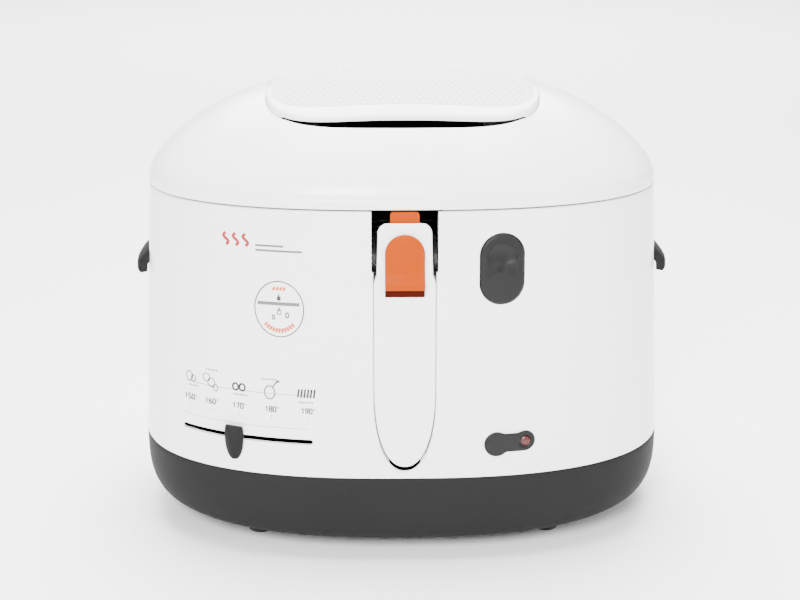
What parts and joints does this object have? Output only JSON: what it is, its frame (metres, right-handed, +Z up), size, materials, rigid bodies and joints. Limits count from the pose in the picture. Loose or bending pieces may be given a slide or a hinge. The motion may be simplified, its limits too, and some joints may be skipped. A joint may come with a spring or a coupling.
{
  "type": "deep fryer",
  "caption": "Oval cool-wall deep fryer with a hinged domed lid, folding basket handle, sliding temperature knob and lid release button.",
  "frame": {"origin": "on the floor, under the middle of the body", "axes": "+Z up, front with the handle towards -Y, temperature slot on the -X side"},
  "size_m": [0.3574, 0.2594, 0.2998],
  "materials": {
    "white_plastic": "satin-gloss moulded white plastic",
    "charcoal_plastic": "fine-grained charcoal moulded plastic",
    "orange_plastic": "satin orange moulded plastic",
    "red_lens": "clear red lamp lens",
    "black_rubber": "matt black rubber",
    "steel": "plain bright steel",
    "aluminium": "rolled aluminium sheet",
    "non_stick": "dark grey non-stick coating on pressed metal",
    "filter_fibre": "dark matted filter fibre",
    "ceramic": "cream heat-proof moulding",
    "lead_sleeve": "silicone-sleeved internal lead"
  },
  "bodies": {
    "casing": {"base_skirt": "charcoal_plastic", "foot_1": "black_rubber", "foot_2": "black_rubber", "foot_3": "black_rubber", "foot_4": "black_rubber", "foot_screw_1": "steel", "foot_screw_2": "steel", "foot_screw_3": "steel", "foot_screw_4": "steel", "cord_gland": "black_rubber", "outer_casing": "white_plastic", "side_grip_left": "charcoal_plastic", "side_grip_right": "charcoal_plastic", "inner_collar": "white_plastic", "bowl": "non_stick", "tie_rod_1": "steel", "tie_rod_2": "steel", "tie_rod_3": "steel", "tie_rod_4": "steel", "heat_plate": "aluminium", "heating_element": "steel", "thermal_fuse": "ceramic", "thermostat": "ceramic", "thermostat_bracket": "steel", "lamp_bezel": "charcoal_plastic", "lamp_lens": "red_lens", "indicator_lamp": "ceramic", "terminal_block": "ceramic", "lead_live": "lead_sleeve", "lead_neutral": "lead_sleeve", "sensor_tube": "aluminium", "latch_pin": "steel", "button_spring": "steel"},
    "temperature_control": {"temperature_knob": "charcoal_plastic", "temperature_lever": "steel", "thermostat_spindle": "steel"},
    "basket": {"basket": "steel", "basket_bracket": "steel", "handle_pin": "steel"},
    "handle": {"handle": "white_plastic", "lock_spring": "steel"},
    "lock_slider": {"lock_slider": "orange_plastic"},
    "release_button": {"release_button": "charcoal_plastic"},
    "latch_lever": {"latch_lever": "charcoal_plastic"},
    "lid": {"lid_shell": "white_plastic", "lid_hinge_pin": "steel", "lid_liner": "aluminium", "lid_gasket": "black_rubber", "lid_catch": "steel", "filter_tray": "charcoal_plastic", "filter_media": "filter_fibre"},
    "filter_cover": {"filter_cover": "white_plastic"}
  },
  "joints": [
    {"name": "lid_hinge", "type": "hinge", "parent": "casing", "child": "lid", "pos_m": [0, 0.12535, 0.224], "axis": [-1, 0, 0], "range_deg": [0, 78]},
    {"name": "filter_cover_hinge", "type": "hinge", "parent": "lid", "child": "filter_cover", "pos_m": [0, 0.0604, 0.2918], "axis": [-1, 0, 0], "range_deg": [0, 70]},
    {"name": "basket_lift", "type": "slide", "parent": "casing", "child": "basket", "axis": [0, 0, 1], "range_m": [0, 0.01801]},
    {"name": "handle_fold", "type": "hinge", "parent": "basket", "child": "handle", "pos_m": [0, -0.11666, 0.1975], "axis": [-1, 0, 0], "range_deg": [0, 90]},
    {"name": "lock_slide", "type": "slide", "parent": "handle", "child": "lock_slider", "axis": [0, 0, -1], "range_m": [0, 0.006], "stiffness_N_per_m": 300, "springref_m": -0.001, "deforming": ["lock_spring"]},
    {"name": "release_press", "type": "slide", "parent": "casing", "child": "release_button", "axis": [0, 1, 0], "range_m": [0, 0.004], "stiffness_N_per_m": 500, "springref_m": -0.001, "deforming": ["button_spring"]},
    {"name": "latch_turn", "type": "hinge", "parent": "casing", "child": "latch_lever", "pos_m": [0.0596, -0.1085, 0.204], "axis": [1, 0, 0], "range_deg": [0, 15.01]},
    {"name": "temperature_turn", "type": "hinge", "parent": "casing", "child": "temperature_control", "pos_m": [-0.04252, 0.03017, 0.08], "axis": [0, 0, 1], "range_deg": [-13, 17]}
  ],
  "couplings": [
    {"joint": "basket_lift", "follows": "handle_fold", "m_per_rad": 0.011459},
    {"joint": "latch_turn", "follows": "release_press", "rad_per_m": 65.45}
  ]
}
